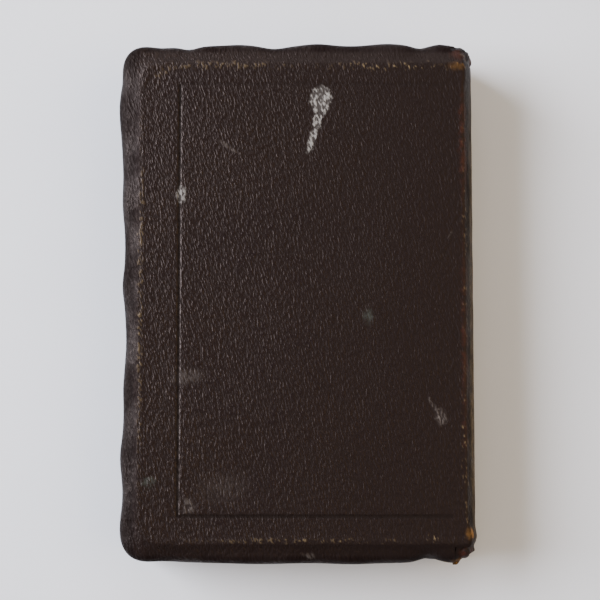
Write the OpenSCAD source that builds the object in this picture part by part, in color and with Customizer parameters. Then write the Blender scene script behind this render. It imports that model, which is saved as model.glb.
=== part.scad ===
// Small prayer book in a limp leather binding with yapp edges, lying on its front cover.
// x runs from the fore-edge to the spine, y from tail to head, z up from the front cover.
// Modules draw with x = 0 on the fold of the middle section; in_place() moves them to the origin.

/* [Pages] */
// Height of a page, head to tail
page_h = 125; // [90:1:200]
// Width of a page, fold to fore-edge
page_w = 85; // [60:1:140]
// Radius of the two rounded page corners
page_corner_r = 6; // [3:0.5:9]
// Thickness of one folded section
section_t = 1.04; // [0.6:0.02:2]
// Thickness of a loose leaf or an endpaper
leaf_t = 0.12; // [0.08:0.01:0.2]
// Air between loose leaves
leaf_gap = 0.03; // [0.02:0.01:0.06]
// How far the rounded spine bulges past its ends
spine_round = 2; // [1:0.25:3.5]

/* [Covers] */
// Thickness of the cover leather
leather_t = 0.8; // [0.5:0.1:1.4]
// Thickness of the flexible cover boards
board_t = 1.2; // [0.8:0.1:2.5]
// How far a board stands past the pages on three sides
square_w = 2; // [1:0.25:4]
// Radius of the boards' fore-edge corners
board_corner_r = 6; // [4:0.5:9]
// Thickness of the pared leather turned over the board
turn_in_t = 0.4; // [0.3:0.05:0.8]
// Width of the turned-in leather
turn_in_w = 12; // [8:1:18]
// Width of the spine cloth glued down on each board
flange_w = 15; // [10:1:25]
// Air between a cover, its flyleaf and the pages
cover_gap = 0.05; // [0.03:0.01:0.1]

/* [Yapp edges] */
// How far the drooping edge stands out past the board
flap_reach = 5; // [3.5:0.25:8]
// Slope of the edge between its crease and its bend, in degrees
flap_slope = 20; // [10:1:35]
// Outer radius of the bend
flap_bend_r = 3; // [2.2:0.2:3.4]
// Straight drop of the edge below its bend
flap_drop = 4; // [1:0.25:4.5]
// Thickness of the doubled leather in the edge
flap_t = 1.3; // [0.9:0.1:1.8]
// Distance from the end of the drooping edge to the spine cap
flap_relief = 0.8; // [0.4:0.1:12]

/* [Tooling] */
// Width of the blind line
tool_w = 0.6; // [0.3:0.1:1.2]
// Depth of the blind line
tool_d = 0.25; // [0.1:0.05:0.4]
// Distance of the blind line from the fore-edge crease
tool_fore = 10.7; // [5:0.1:20]
// Distance of the blind line from the head crease
tool_head = 5.6; // [3:0.1:15]
// Distance of the blind line from the tail crease
tool_tail = 7; // [3:0.1:15]
// Distance of the blind line from the spine joint
tool_spine = 3; // [2:0.1:12]

/* [Spine] */
// Thickness of the sewing tapes
tape_t = 0.25; // [0.15:0.05:0.5]
// Width of a sewing tape
tape_w = 8; // [5:0.5:12]
// Distance between neighbouring sewing tapes
tape_pitch = 38; // [25:1:50]
// Radius of the sewing thread
thread_r = 0.12; // [0.08:0.01:0.2]
// Thickness of the open-weave spine cloth
mull_t = 0.2; // [0.1:0.05:0.4]
// Thickness of the paper spine lining
lining_t = 0.3; // [0.2:0.05:0.6]
// Radius of the sewn head and tail bands
band_r = 0.9; // [0.6:0.1:1.3]
// Distance of the kettle stitches from head and tail
kettle_in = 6; // [4:0.5:12]
// Air beside and over each leather joint
joint_clear = 0.1; // [0.05:0.05:0.3]
// How far the leather caps are rolled in over the bands
cap_roll = 1.6; // [1:0.1:3]

/* [Hidden] */
$fn = 96;
HALF_SECTIONS = 8;
LEAVES = 6;
TAPES = 3;
SMALL = 0.01;
BEND_STEPS = 6;
BIG = 400;

function two_digits(n) = str(n < 10 ? "0" : "", n);

SECTION_NAMES = [for (n = [1:2 * HALF_SECTIONS]) str("section_", two_digits(n))];
LEAF_NAMES = [for (n = [1:LEAVES]) str("leaf_", n)];

// The stack of one cover, from its outer face inwards.
cover_t = leather_t + board_t + turn_in_t + leaf_t;
// Half of the pages, measured from the middle of the book.
leaves_half = (LEAVES * leaf_t + (LEAVES + 1) * leaf_gap) / 2;
block_half = leaves_half + HALF_SECTIONS * section_t;
half_t = block_half + cover_gap + leaf_t + cover_gap + cover_t;
mid_z = half_t;

// The rounded spine is an arc through the folds of all sections.
fold_r = (block_half * block_half + spine_round * spine_round) / (2 * spine_round);
mull_r = fold_r + tape_t + 2 * thread_r + SMALL;
lining_r = mull_r + mull_t;
leather_r = lining_r + lining_t;
spine_out = leather_r + leather_t - fold_r;

// Outlines of the boards and the leather round them.
board_half_h = page_h / 2 + square_w;
board_x = -(page_w + spine_round + square_w);
cover_half_h = board_half_h + flap_reach;
joint_x = arc_x(leather_r, half_t) - 2 * joint_clear;
cover_in_x = joint_x - joint_clear;
pocket_z = half_t - leather_t - board_t;
flange_half_h = board_half_h - turn_in_w;

// Covers and middle opening stop a little short of flat, and a flyleaf stops shorter than its cover.
FLAT_SHORT = 2;
FLYLEAF_SHORT = FLAT_SHORT + 0.06 * (180 - FLAT_SHORT);
// Each cover turns on a line just outside its face. The line is far enough towards the spine
// that both covers, turned right back with the book open in the middle, lie clear of each other.
hinge_lift = 1.5 * joint_clear;
turned_in = cover_t + hinge_lift;
hinge_x = (spine_out + joint_clear + (half_t + turned_in) * tan(FLAT_SHORT / 2)
    + turned_in * sin(FLAT_SHORT) + cover_in_x * cos(FLAT_SHORT)) / (1 + cos(FLAT_SHORT));
// The inner edge of a flyleaf is cut back to clear the other flyleaf in the same way.
flyleaf_in = half_t + hinge_lift - block_half;
flyleaf_clear = spine_out - hinge_x + joint_clear + (half_t + 2 * flyleaf_in) * tan(FLAT_SHORT / 2);
flyleaf_in_x = min(cover_in_x - joint_clear,
    hinge_x - (flyleaf_clear + flyleaf_in * sin(FLYLEAF_SHORT)) / cos(FLYLEAF_SHORT));
cap_y = page_h / 2 + 2 * band_r + joint_clear;
cap_start_y = max(cap_y, board_half_h + joint_clear);
origin_x = (-board_x + flap_reach - spine_out) / 2;

// Place of the spine arc of radius r at height z above the middle of the book.
function arc_x(r, z) = sqrt(r * r - z * z) - fold_r;

module in_place() {
    translate([origin_x, 0, mid_z]) children();
}

// Draws for the back cover, and mirrored for the front cover.
module on_side(side) {
    in_place() mirror([0, 0, side < 0 ? 1 : 0]) children();
}

// A sheet from x0 to x1 with two rounded corners at x0.
module sheet_outline(x0, x1, half_h, r) {
    translate([x0 + r, -half_h]) square([x1 - x0 - r, 2 * half_h]);
    translate([x0, -(half_h - r)]) square([r + SMALL, 2 * (half_h - r)]);
    for (s = [-1, 1]) translate([x0 + r, s * (half_h - r)]) circle(r);
}

module sheet(z, t, x0, x1, half_h, r) {
    translate([0, 0, z]) linear_extrude(t) sheet_outline(x0, x1, half_h, r);
}

// Points on an arc, with the angle counted from straight up towards +x.
function arc_points(centre, r, from, to) =
    [for (i = [0:BEND_STEPS]) centre + r * [sin(from + (to - from) * i / BEND_STEPS), cos(from + (to - from) * i / BEND_STEPS)]];

// Section through a drooping edge: x is outwards from the board, y = 0 is the outer face.
// A sloping facet leaves the crease, bends through an arc and drops straight.
module flap_profile() {
    fall = (flap_reach - flap_bend_r * (1 - sin(flap_slope))) * tan(flap_slope);
    centre = [flap_reach - flap_bend_r, -fall - flap_bend_r * cos(flap_slope)];
    end_y = centre[1] - flap_drop;
    wrap_y = -(cover_t - leaf_t);
    polygon(concat(
        [[0, wrap_y], [0, 0]],
        arc_points(centre, flap_bend_r, flap_slope, 90),
        [[flap_reach, end_y], [flap_reach - flap_t, end_y]],
        arc_points(centre, flap_bend_r - flap_t, 90, flap_slope),
        [[leather_t, -flap_t / cos(flap_slope) - leather_t * tan(flap_slope)], [leather_t, wrap_y]]
    ));
}

// The profile along a straight side of length len, centred, facing +x.
module flap_run(len) {
    rotate([90, 0, 0]) linear_extrude(len, center = true) flap_profile();
}

module flap_corner() {
    rotate_extrude(angle = 90) translate([board_corner_r, 0]) flap_profile();
}

// The drooping edge round the head, fore-edge and tail of a cover.
module yapp_edge() {
    corner_x = board_x + board_corner_r;
    corner_y = board_half_h - board_corner_r;
    run_end = min(cover_in_x, arc_x(leather_r - cap_roll, half_t - leather_t)) - flap_relief;
    translate([board_x, 0, 0]) rotate([0, 0, 180]) flap_run(2 * corner_y);
    for (s = [-1, 1]) {
        translate([(corner_x + run_end) / 2, s * board_half_h, 0])
            rotate([0, 0, s * 90]) flap_run(run_end - corner_x);
        translate([corner_x, s * corner_y, 0]) rotate([0, 0, s > 0 ? 90 : 180]) flap_corner();
    }
}

module blind_lines() {
    x0 = board_x + tool_fore;
    x1 = joint_x - tool_spine;
    y0 = -board_half_h + tool_tail;
    y1 = board_half_h - tool_head;
    translate([0, 0, half_t - tool_d]) linear_extrude(tool_d + 1) difference() {
        translate([x0 - tool_w / 2, y0 - tool_w / 2]) square([x1 - x0 + tool_w, y1 - y0 + tool_w]);
        translate([x0 + tool_w / 2, y0 + tool_w / 2]) square([x1 - x0 - tool_w, y1 - y0 - tool_w]);
    }
}

module cover_leather(side) {
    on_side(side) color("#33281f") {
        difference() {
            sheet(half_t - leather_t, leather_t, board_x, cover_in_x, board_half_h, board_corner_r);
            blind_lines();
        }
        translate([0, 0, half_t]) yapp_edge();
        difference() {
            sheet(half_t - cover_t + leaf_t, turn_in_t, board_x, cover_in_x, board_half_h, board_corner_r);
            translate([0, 0, -SMALL]) infill_block(turn_in_t + 2 * SMALL);
        }
    }
}

// The space between the turn-ins on a board's inner face.
module infill_block(t) {
    x0 = board_x + turn_in_w;
    half_h = board_half_h - turn_in_w;
    translate([x0, -half_h, half_t - cover_t + leaf_t]) cube([cover_in_x - x0, 2 * half_h, t]);
}

module cover_board(side) {
    on_side(side) color("#a58d67")
        sheet(pocket_z, board_t, board_x, cover_in_x, board_half_h, board_corner_r);
}

module cover_infill(side) {
    on_side(side) color("#c9b78f") difference() {
        infill_block(turn_in_t);
        translate([0, 0, -SMALL]) mull_flange(mull_t + SMALL);
    }
}

// The strip of spine cloth that is glued down between a board and its pastedown.
module mull_flange(t) {
    translate([cover_in_x - flange_w, -flange_half_h, half_t - cover_t + leaf_t])
        cube([arc_x(mull_r, block_half) - cover_in_x + flange_w, 2 * flange_half_h, t]);
}

module pastedown(side) {
    on_side(side) color("#e2d3ae")
        sheet(half_t - cover_t, leaf_t, board_x + square_w, cover_in_x, page_h / 2, page_corner_r);
}

module flyleaf(side) {
    on_side(side) color("#e2d3ae")
        sheet(block_half + cover_gap, leaf_t, board_x + square_w, flyleaf_in_x, page_h / 2, page_corner_r);
}

// Section n of all, counted from the front cover.
module section(n) {
    z = n <= HALF_SECTIONS
        ? -block_half + (n - 1) * section_t
        : leaves_half + (n - HALF_SECTIONS - 1) * section_t;
    fold_x = arc_x(fold_r - section_t / 2, z + section_t / 2) + section_t / 2;
    in_place() color("#e6d9b8") intersection() {
        sheet(z, section_t, fold_x - page_w, fold_x, page_h / 2, page_corner_r);
        union() {
            translate([fold_x - section_t / 2 - BIG, -BIG / 2, z]) cube([BIG, BIG, section_t]);
            translate([fold_x - section_t / 2, 0, z + section_t / 2])
                rotate([90, 0, 0]) cylinder(r = section_t / 2, h = BIG, center = true);
        }
    }
}

// Leaf n of the middle opening, counted from the front cover.
module leaf(n) {
    z = -leaves_half + leaf_gap + (n - 1) * (leaf_t + leaf_gap);
    in_place() color("#eadfc2") sheet(z, leaf_t, -page_w, -leaf_gap, page_h / 2, page_corner_r);
}

// A shell round the spine from radius r0 to r1, between heights -z1 and z1, between y0 and y1.
module spine_shell(r0, r1, z1, y0, y1) {
    translate([0, y1, 0]) rotate([90, 0, 0]) linear_extrude(y1 - y0) intersection() {
        translate([-fold_r, 0]) difference() {
            circle(r1);
            circle(r0);
        }
        translate([-fold_r / 2, -z1]) square([fold_r, 2 * z1]);
    }
}

module spine_leather() {
    in_place() color("#33281f") {
        spine_shell(leather_r, leather_r + leather_t, half_t, -cover_half_h, cover_half_h);
        for (s = [-1, 1]) {
            tab_z = s > 0 ? half_t - leather_t : -half_t;
            translate([joint_x, -board_half_h, tab_z])
                cube([arc_x(leather_r, half_t) - joint_x + leather_t / 2, 2 * board_half_h, leather_t]);
            y0 = s > 0 ? cap_start_y : -cover_half_h;
            spine_shell(leather_r - cap_roll, leather_r + SMALL, half_t - leather_t, y0,
                y0 + cover_half_h - cap_start_y);
        }
    }
}

module spine_lining() {
    in_place() color("#b7a57d") spine_shell(lining_r, leather_r, block_half, -page_h / 2, page_h / 2);
}

module mull() {
    in_place() color("#cfc6ad") {
        spine_shell(mull_r, lining_r, half_t - cover_t + leaf_t + mull_t, -flange_half_h, flange_half_h);
        for (s = [0, 1]) mirror([0, 0, s]) mull_flange(mull_t);
    }
}

module sewing_tapes() {
    in_place() color("#d8ccab") for (i = [0:TAPES - 1]) {
        y = (i - (TAPES - 1) / 2) * tape_pitch;
        spine_shell(fold_r, fold_r + tape_t, block_half, y - tape_w / 2, y + tape_w / 2);
    }
}

// One stitch of every section over each tape, and a kettle chain near head and tail.
module sewing_thread() {
    stitch_r = fold_r + tape_t + thread_r;
    in_place() color("#efe7d2") {
        for (i = [0:TAPES - 1], side = [-1, 1], n = [0:HALF_SECTIONS - 1]) {
            z = side * (leaves_half + (n + 0.5) * section_t);
            translate([arc_x(stitch_r, z), (i - (TAPES - 1) / 2) * tape_pitch, z])
                rotate([90, 0, 0]) cylinder(r = thread_r, h = tape_w + 8 * thread_r, center = true);
        }
        for (s = [-1, 1]) {
            y = s * (page_h / 2 - kettle_in);
            spine_shell(fold_r, fold_r + 2 * thread_r, block_half, y - 2 * thread_r, y + 2 * thread_r);
        }
    }
}

module end_band(s) {
    turn = asin((block_half - section_t / 2) / fold_r);
    in_place() color("#b8423a")
        translate([-fold_r, s * (page_h / 2 + band_r), 0]) rotate([90, 0, 0]) rotate([0, 0, -turn])
            rotate_extrude(angle = 2 * turn) translate([fold_r - band_r, 0]) circle(band_r);
}

cover_leather(-1);  // front_leather
cover_board(-1);  // front_board
cover_infill(-1);  // front_infill
pastedown(-1);  // front_pastedown
flyleaf(-1);  // front_flyleaf
cover_leather(1);  // back_leather
cover_board(1);  // back_board
cover_infill(1);  // back_infill
pastedown(1);  // back_pastedown
flyleaf(1);  // back_flyleaf
spine_leather();
spine_lining();
mull();
sewing_tapes();
sewing_thread();
end_band(1);  // head_band
end_band(-1);  // tail_band
for (n = [1:2 * HALF_SECTIONS]) section(n);
for (n = [1:LEAVES]) leaf(n);
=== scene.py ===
"""Visual model of a small prayer book in limp grained leather with drooping (yapp) edges.

The book lies on its front cover: +X is the spine, +Y the head, +Z the back cover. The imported
frame gives every place and size; the classes below model what shows and dress it.
"""

import logging
import math
import random
from dataclasses import dataclass, field
from enum import Enum
from typing import Callable, Sequence

import bpy
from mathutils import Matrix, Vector, noise


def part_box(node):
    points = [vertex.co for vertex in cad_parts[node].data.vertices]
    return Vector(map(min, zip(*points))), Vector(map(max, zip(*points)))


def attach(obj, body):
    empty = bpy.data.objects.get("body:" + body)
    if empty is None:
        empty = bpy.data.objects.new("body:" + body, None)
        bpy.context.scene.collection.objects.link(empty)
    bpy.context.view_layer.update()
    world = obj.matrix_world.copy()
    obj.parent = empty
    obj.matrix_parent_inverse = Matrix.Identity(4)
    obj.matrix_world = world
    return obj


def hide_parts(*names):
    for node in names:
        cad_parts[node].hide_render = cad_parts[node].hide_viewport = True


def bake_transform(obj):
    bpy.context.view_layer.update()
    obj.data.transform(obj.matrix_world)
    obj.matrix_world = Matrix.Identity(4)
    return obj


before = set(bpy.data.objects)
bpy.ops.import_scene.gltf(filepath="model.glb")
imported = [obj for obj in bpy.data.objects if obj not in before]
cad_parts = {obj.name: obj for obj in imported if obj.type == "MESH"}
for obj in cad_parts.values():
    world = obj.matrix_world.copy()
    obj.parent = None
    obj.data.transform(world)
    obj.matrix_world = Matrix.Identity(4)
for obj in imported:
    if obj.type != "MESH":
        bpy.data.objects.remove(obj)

LOG = logging.getLogger("prayer_book")
MM = 0.001
# The attribute that keeps a bending piece's rest places, and the tapes' thickness in mm.
REST = "rest_place"
TAPE = 0.25


# ---------------------------------------------------------------- working habits


def clear_selection() -> None:
    """Leave edit mode and deselect every object."""
    if bpy.context.object and bpy.context.object.mode != "OBJECT":
        bpy.ops.object.mode_set(mode="OBJECT")
    bpy.ops.object.select_all(action="DESELECT")


def adopt(name: str) -> bpy.types.Object:
    """Name the primitive that was just added and put its place into its mesh.

    Args:
        name: the piece's name.

    Returns:
        The object, at the origin, unturned and unscaled.
    """
    piece = bpy.context.object
    piece.name = name
    piece.data.name = name
    bpy.ops.object.transform_apply(location=True, rotation=True, scale=True)
    return piece


def steps(start: float, stop: float, size: float) -> list[float]:
    """Even stations from start up to but not including stop, about size apart."""
    count = max(1, round(abs(stop - start) / size))
    return [start + (stop - start) * i / count for i in range(count)]


def ease(value: float) -> float:
    """Smooth step of value clamped between 0 and 1."""
    value = min(1.0, max(0.0, value))
    return value * value * (3 - 2 * value)


def hump(value: float, centre: float, half_width: float) -> float:
    """A bell of height 1 about centre."""
    return math.exp(-(((value - centre) / half_width) ** 2))


def ruled_sheet(name: str, columns: Sequence[float], rows: Sequence[float]) -> bpy.types.Object:
    """Lay out a flat sheet whose grid lines stand at the given stations.

    Args:
        name: the piece's name.
        columns: stations along X, in mm.
        rows: stations along Y, in mm.

    Returns:
        The flat sheet, still in mm, ready to be cut and shaped.
    """
    clear_selection()
    across, along = len(columns) - 1, len(rows) - 1
    bpy.ops.mesh.primitive_grid_add(x_subdivisions=across, y_subdivisions=along, size=2)
    sheet = adopt(name)
    for vertex in sheet.data.vertices:
        i = round((vertex.co.x + 1) / 2 * across)
        j = round((vertex.co.y + 1) / 2 * along)
        vertex.co = (columns[i], rows[j], 0.0)
    return sheet


def work_on(piece: bpy.types.Object) -> None:
    """Make a piece the active one and the only one selected."""
    clear_selection()
    bpy.context.view_layer.objects.active = piece
    piece.select_set(True)


def choose(piece: bpy.types.Object, kind: str, wanted: Callable[[object], bool]) -> None:
    """Go into edit mode with only the wanted parts of a mesh selected.

    Args:
        piece: the piece to edit.
        kind: "FACE" or "EDGE".
        wanted: whether a face or edge is to be selected.
    """
    work_on(piece)
    bpy.ops.object.mode_set(mode="EDIT")
    bpy.ops.mesh.select_mode(type=kind)
    bpy.ops.mesh.select_all(action="DESELECT")
    bpy.ops.object.mode_set(mode="OBJECT")
    for part in piece.data.polygons if kind == "FACE" else piece.data.edges:
        part.select = wanted(part)
    bpy.ops.object.mode_set(mode="EDIT")


def cut_away(piece: bpy.types.Object, waste: Callable[[Vector], bool]) -> None:
    """Delete the faces whose centre the test calls waste."""
    choose(piece, "FACE", lambda face: waste(face.center))
    bpy.ops.mesh.delete(type="FACE")
    bpy.ops.object.mode_set(mode="OBJECT")


def shape(piece: bpy.types.Object, move: Callable[[Vector], tuple[float, float, float]]) -> None:
    """Move every vertex, both ends in mm, and leave the mesh in metres."""
    for vertex in piece.data.vertices:
        vertex.co = Vector(move(vertex.co)) * MM
    piece.data.update()


def edit(piece: bpy.types.Object, *calls: Callable[[], object]) -> None:
    """Run mesh operators on all of a piece in edit mode."""
    work_on(piece)
    bpy.ops.object.mode_set(mode="EDIT")
    bpy.ops.mesh.select_all(action="SELECT")
    for call in calls:
        call()
    bpy.ops.object.mode_set(mode="OBJECT")


def face_back(piece: bpy.types.Object, within: float = math.inf) -> None:
    """Point the faces out: those within a distance in mm of the book's middle look towards the back."""
    edit(piece, lambda: bpy.ops.mesh.normals_make_consistent(inside=False))
    if sum(f.normal.x for f in piece.data.polygons if abs(f.center.y) < within * MM) < 0:
        edit(piece, bpy.ops.mesh.flip_normals)


def soften(piece: bpy.types.Object, angle: float = 50.0) -> None:
    """Shade a piece smooth except across edges sharper than angle degrees."""
    work_on(piece)
    bpy.ops.object.shade_smooth_by_angle(angle=math.radians(angle))
    clear_selection()


def thicken(piece: bpy.types.Object, thickness: float) -> None:
    """Give a sheet its thickness in mm, inwards from its face."""
    work_on(piece)
    wall = piece.modifiers.new("wall", "SOLIDIFY")
    wall.thickness = thickness * MM
    wall.offset = -1.0
    bpy.ops.object.modifier_apply(modifier=wall.name)


def copy_of(pattern: bpy.types.Object) -> bpy.types.Object:
    """Copy a piece, with a mesh of its own."""
    copy = pattern.copy()
    copy.data = pattern.data.copy()
    bpy.context.collection.objects.link(copy)
    return copy


def joined(pieces: Sequence[bpy.types.Object], name: str) -> bpy.types.Object:
    """Join pieces into one, under a name."""
    work_on(pieces[0])
    for piece in pieces:
        piece.select_set(True)
    bpy.ops.object.join()
    pieces[0].name = name
    return pieces[0]


def dress(piece: bpy.types.Object, *materials: bpy.types.Material) -> None:
    """Give a piece its materials, in slot order."""
    piece.data.materials.clear()
    for material in materials:
        piece.data.materials.append(material)


def keep_places(piece: bpy.types.Object) -> None:
    """Store where each vertex lies at rest, so that the pattern stays put when the piece bends."""
    places = piece.data.attributes.new(REST, "FLOAT_VECTOR", "POINT")
    places.data.foreach_set("vector", [c for vertex in piece.data.vertices for c in vertex.co])


def span(node: str) -> tuple[Vector, Vector]:
    """The two corners of a CAD node's box, in mm."""
    low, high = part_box(node)
    return low / MM, high / MM


# ---------------------------------------------------------------- materials

# Every node of these kinds is set the same way here. A mix has its two colours at inputs 6 and 7.
HABITS = {
    "MapRange": {"interpolation_type": "SMOOTHSTEP"},
    "Mapping": {"vector_type": "TEXTURE"},
    "Mix": {"data_type": "RGBA"},
}
UNDER, OVER = 6, 7


def linear(code: str) -> tuple[float, float, float, float]:
    """Turn an sRGB hex colour into the linear colour that shaders use."""
    parts = [int(code[i : i + 2], 16) / 255 for i in (0, 2, 4)]
    return tuple(c / 12.92 if c <= 0.04045 else ((c + 0.055) / 1.055) ** 2.4 for c in parts) + (1.0,)


def cloudy(detail: float, rough: float = 0.55) -> dict[str, float]:
    """Inputs of a noise whose coordinates already carry its size."""
    return {"Scale": 1.0, "Detail": detail, "Roughness": rough}


@dataclass
class Recipe:
    """A material being built: its node tree and the one way to add to it.

    Args:
        name: the material's name.
        bends: whether it is only for pieces that bend and so keep their rest places.
    """

    name: str
    bends: bool = False
    material: bpy.types.Material = field(init=False)
    shader: bpy.types.ShaderNode = field(init=False)

    def __post_init__(self) -> None:
        """Start from an empty tree with one Principled shader."""
        self.material = bpy.data.materials.new(self.name)
        self.material.use_nodes = True
        self.material.node_tree.nodes.clear()
        surface = self.add("BsdfPrincipled")
        self.shader = surface.node
        self.add("OutputMaterial", surface)

    def add(
        self, kind: str, *first: object, out: int | str = 0, named: dict | None = None, **settings: object
    ) -> bpy.types.NodeSocket | None:
        """Add a node with its settings, values and links.

        Args:
            kind: the node's type name, without its "ShaderNode", and after a space its operation, if any.
            *first: values, or other nodes' outputs, for its inputs in order.
            out: which of its outputs is wanted.
            named: the same for inputs further on, by name or number.
            **settings: properties of the node itself.

        Returns:
            The wanted output, if the node has any.
        """
        kind, _, operation = kind.partition(" ")
        made = self.material.node_tree.nodes.new(f"ShaderNode{kind}")
        if operation:
            made.operation = operation
        for key, value in {**HABITS.get(kind, {}), **settings}.items():
            setattr(made, key, value)
        self.fill(made, {**dict(enumerate(first)), **(named or {})})
        return made.outputs[out] if made.outputs else None

    def fill(self, node: bpy.types.Node, inputs: dict) -> None:
        """Set each input of a node to a value, or link it to another node's output."""
        for key, value in inputs.items():
            if isinstance(value, bpy.types.NodeSocket):
                self.material.node_tree.links.new(value, node.inputs[key])
            else:
                node.inputs[key].default_value = value

    def coats(self, colour: object, *coats: tuple[object, str]) -> bpy.types.NodeSocket:
        """Lay coats of sRGB colours one over another, each by its own share of the surface."""
        for share, code in coats:
            colour = self.add("Mix", share, named={UNDER: colour, OVER: linear(code)}, out=2)
        return colour

    def finish(
        self, inputs: dict, height: object, millimetres: float, strength: float = 1.0
    ) -> bpy.types.Material:
        """Fill the shader's inputs and emboss it.

        Args:
            inputs: the shader's inputs by name.
            height: the relief, from 0 to 1.
            millimetres: how high a relief of 1 stands.
            strength: how strongly it shows.

        Returns:
            The finished material.
        """
        relief = {"Height": height, "Distance": millimetres * MM, "Strength": strength}
        self.fill(self.shader, {**inputs, "Normal": self.add("Bump", named=relief)})
        return self.material

    def here(self) -> bpy.types.NodeSocket:
        """Where a point of the piece lies at rest, in metres."""
        if self.bends:
            return self.add("Attribute", attribute_name=REST, out="Vector")
        return self.add("TexCoord", out="Object")

    def place(self, *millimetres: float) -> bpy.types.NodeSocket:
        """Places at rest in units of the given millimetres along X, Y and Z, or of one for all three."""
        sizes = millimetres if len(millimetres) == 3 else millimetres * 3
        return self.add("VectorMath MULTIPLY", self.here(), [1 / (size * MM) for size in sizes])

    def axes(self, unit: float = 1.0) -> Sequence[bpy.types.NodeSocket]:
        """X, Y and Z at rest, in units of the given millimetres."""
        return self.add("SeparateXYZ", self.place(unit)).node.outputs


class Harm(Enum):
    """What has happened to a patch of the leather."""

    RUBBED = "the dye is rubbed off the grain down to tan"
    REDDENED = "the dye is thinned to a red brown"
    RAW = "the skin is torn and its ochre core shows"
    SCUFFED = "the grain is grazed to a dull grey"
    PAINTED = "a drip of white paint lies on the grain"
    FADED = "a damp, greenish grey bloom"


@dataclass(frozen=True)
class Mark:
    """One mark on the leather, an ellipsoid patch in mm.

    Args:
        harm: what the mark is.
        at: its centre.
        reach: its half sizes along X, Y and Z before it is turned.
        turn: its turn about Z in degrees.
        force: its strongest value, 0 to 1.
        edge: how much of it is soft edge, 0 to 1.
    """

    harm: Harm
    at: tuple[float, float, float]
    reach: tuple[float, float, float]
    turn: float = 0.0
    force: float = 1.0
    edge: float = 0.6


@dataclass(frozen=True)
class Rule:
    """One blind-ruled line, in mm: the axis across it, its place, its two ends, and how dark it is."""

    axis: int
    at: float
    start: float
    stop: float
    dark: float


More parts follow.
